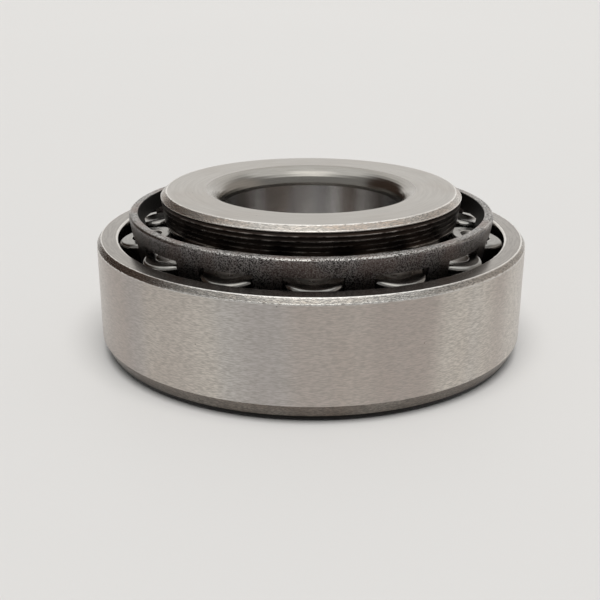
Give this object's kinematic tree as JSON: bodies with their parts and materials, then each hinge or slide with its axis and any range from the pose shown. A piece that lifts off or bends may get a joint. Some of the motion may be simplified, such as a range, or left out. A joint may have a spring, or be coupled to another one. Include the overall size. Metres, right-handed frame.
{
  "type": "tapered roller bearing",
  "caption": "Tapered roller bearing: an inner ring with a large rib and caged tapered rollers turns inside a tapered outer ring, for a shaft under radial and thrust load.",
  "frame": {"origin": "on the bearing's axis, in the plane of the cup's back face, which is also the plane of the cone's small end", "axes": "+Z along the bearing's axis, towards the cone's wide back face; +X and +Y are any pair across it"},
  "size_m": [0.0452, 0.0452, 0.0166],
  "materials": {
    "cup_steel": "ground satin with a fine turned grain",
    "cone_steel": "ground satin, turned rib",
    "cage_steel": "dark grainy pressed sheet, worn bright at the upper edge",
    "roller_steel": "fine polished"
  },
  "bodies": {
    "cup": {"cup": "cup_steel"},
    "cone": {"cone": "cone_steel"},
    "cage": {"cage": "cage_steel"},
    "roller_01": {"roller_01": "roller_steel"},
    "roller_02": {"roller_02": "roller_steel"},
    "roller_03": {"roller_03": "roller_steel"},
    "roller_04": {"roller_04": "roller_steel"},
    "roller_05": {"roller_05": "roller_steel"},
    "roller_06": {"roller_06": "roller_steel"},
    "roller_07": {"roller_07": "roller_steel"},
    "roller_08": {"roller_08": "roller_steel"},
    "roller_09": {"roller_09": "roller_steel"},
    "roller_10": {"roller_10": "roller_steel"},
    "roller_11": {"roller_11": "roller_steel"},
    "roller_12": {"roller_12": "roller_steel"},
    "roller_13": {"roller_13": "roller_steel"},
    "roller_14": {"roller_14": "roller_steel"}
  },
  "joints": [
    {"name": "cone_spin", "type": "hinge", "parent": "cup", "child": "cone", "pos_m": [0, 0, 0], "axis": [0, 0, 1], "continuous": true},
    {"name": "cage_spin", "type": "hinge", "parent": "cup", "child": "cage", "pos_m": [0, 0, 0], "axis": [0, 0, 1], "continuous": true},
    {"name": "roller_01_spin", "type": "hinge", "parent": "cage", "child": "roller_01", "pos_m": [0.00029, -0.0166, 0.00736], "axis": [0.0029, -0.1682, 0.9858], "continuous": true},
    {"name": "roller_02_spin", "type": "hinge", "parent": "cage", "child": "roller_02", "pos_m": [0.00746, -0.01483, 0.00736], "axis": [0.0756, -0.1502, 0.9858], "continuous": true},
    {"name": "roller_03_spin", "type": "hinge", "parent": "cage", "child": "roller_03", "pos_m": [0.01316, -0.01012, 0.00736], "axis": [0.1333, -0.1025, 0.9858], "continuous": true},
    {"name": "roller_04_spin", "type": "hinge", "parent": "cage", "child": "roller_04", "pos_m": [0.01625, -0.00341, 0.00736], "axis": [0.1646, -0.0346, 0.9858], "continuous": true},
    {"name": "roller_05_spin", "type": "hinge", "parent": "cage", "child": "roller_05", "pos_m": [0.01612, 0.00398, 0.00736], "axis": [0.1633, 0.0403, 0.9858], "continuous": true},
    {"name": "roller_06_spin", "type": "hinge", "parent": "cage", "child": "roller_06", "pos_m": [0.0128, 0.01058, 0.00736], "axis": [0.1296, 0.1071, 0.9858], "continuous": true},
    {"name": "roller_07_spin", "type": "hinge", "parent": "cage", "child": "roller_07", "pos_m": [0.00694, 0.01508, 0.00736], "axis": [0.0703, 0.1528, 0.9858], "continuous": true},
    {"name": "roller_08_spin", "type": "hinge", "parent": "cage", "child": "roller_08", "pos_m": [-0.00029, 0.0166, 0.00736], "axis": [-0.0029, 0.1682, 0.9858], "continuous": true},
    {"name": "roller_09_spin", "type": "hinge", "parent": "cage", "child": "roller_09", "pos_m": [-0.00746, 0.01483, 0.00736], "axis": [-0.0756, 0.1502, 0.9858], "continuous": true},
    {"name": "roller_10_spin", "type": "hinge", "parent": "cage", "child": "roller_10", "pos_m": [-0.01316, 0.01012, 0.00736], "axis": [-0.1333, 0.1025, 0.9858], "continuous": true},
    {"name": "roller_11_spin", "type": "hinge", "parent": "cage", "child": "roller_11", "pos_m": [-0.01625, 0.00341, 0.00736], "axis": [-0.1646, 0.0346, 0.9858], "continuous": true},
    {"name": "roller_12_spin", "type": "hinge", "parent": "cage", "child": "roller_12", "pos_m": [-0.01612, -0.00398, 0.00736], "axis": [-0.1633, -0.0403, 0.9858], "continuous": true},
    {"name": "roller_13_spin", "type": "hinge", "parent": "cage", "child": "roller_13", "pos_m": [-0.0128, -0.01058, 0.00736], "axis": [-0.1296, -0.1071, 0.9858], "continuous": true},
    {"name": "roller_14_spin", "type": "hinge", "parent": "cage", "child": "roller_14", "pos_m": [-0.00694, -0.01508, 0.00736], "axis": [-0.0703, -0.1528, 0.9858], "continuous": true}
  ],
  "couplings": [
    {"joint": "cage_spin", "follows": "cone_spin", "ratio": 0.41672},
    {"joint": "roller_01_spin", "follows": "cone_spin", "ratio": -2.8769},
    {"joint": "roller_02_spin", "follows": "cone_spin", "ratio": -2.8769},
    {"joint": "roller_03_spin", "follows": "cone_spin", "ratio": -2.8769},
    {"joint": "roller_04_spin", "follows": "cone_spin", "ratio": -2.8769},
    {"joint": "roller_05_spin", "follows": "cone_spin", "ratio": -2.8769},
    {"joint": "roller_06_spin", "follows": "cone_spin", "ratio": -2.8769},
    {"joint": "roller_07_spin", "follows": "cone_spin", "ratio": -2.8769},
    {"joint": "roller_08_spin", "follows": "cone_spin", "ratio": -2.8769},
    {"joint": "roller_09_spin", "follows": "cone_spin", "ratio": -2.8769},
    {"joint": "roller_10_spin", "follows": "cone_spin", "ratio": -2.8769},
    {"joint": "roller_11_spin", "follows": "cone_spin", "ratio": -2.8769},
    {"joint": "roller_12_spin", "follows": "cone_spin", "ratio": -2.8769},
    {"joint": "roller_13_spin", "follows": "cone_spin", "ratio": -2.8769},
    {"joint": "roller_14_spin", "follows": "cone_spin", "ratio": -2.8769}
  ]
}
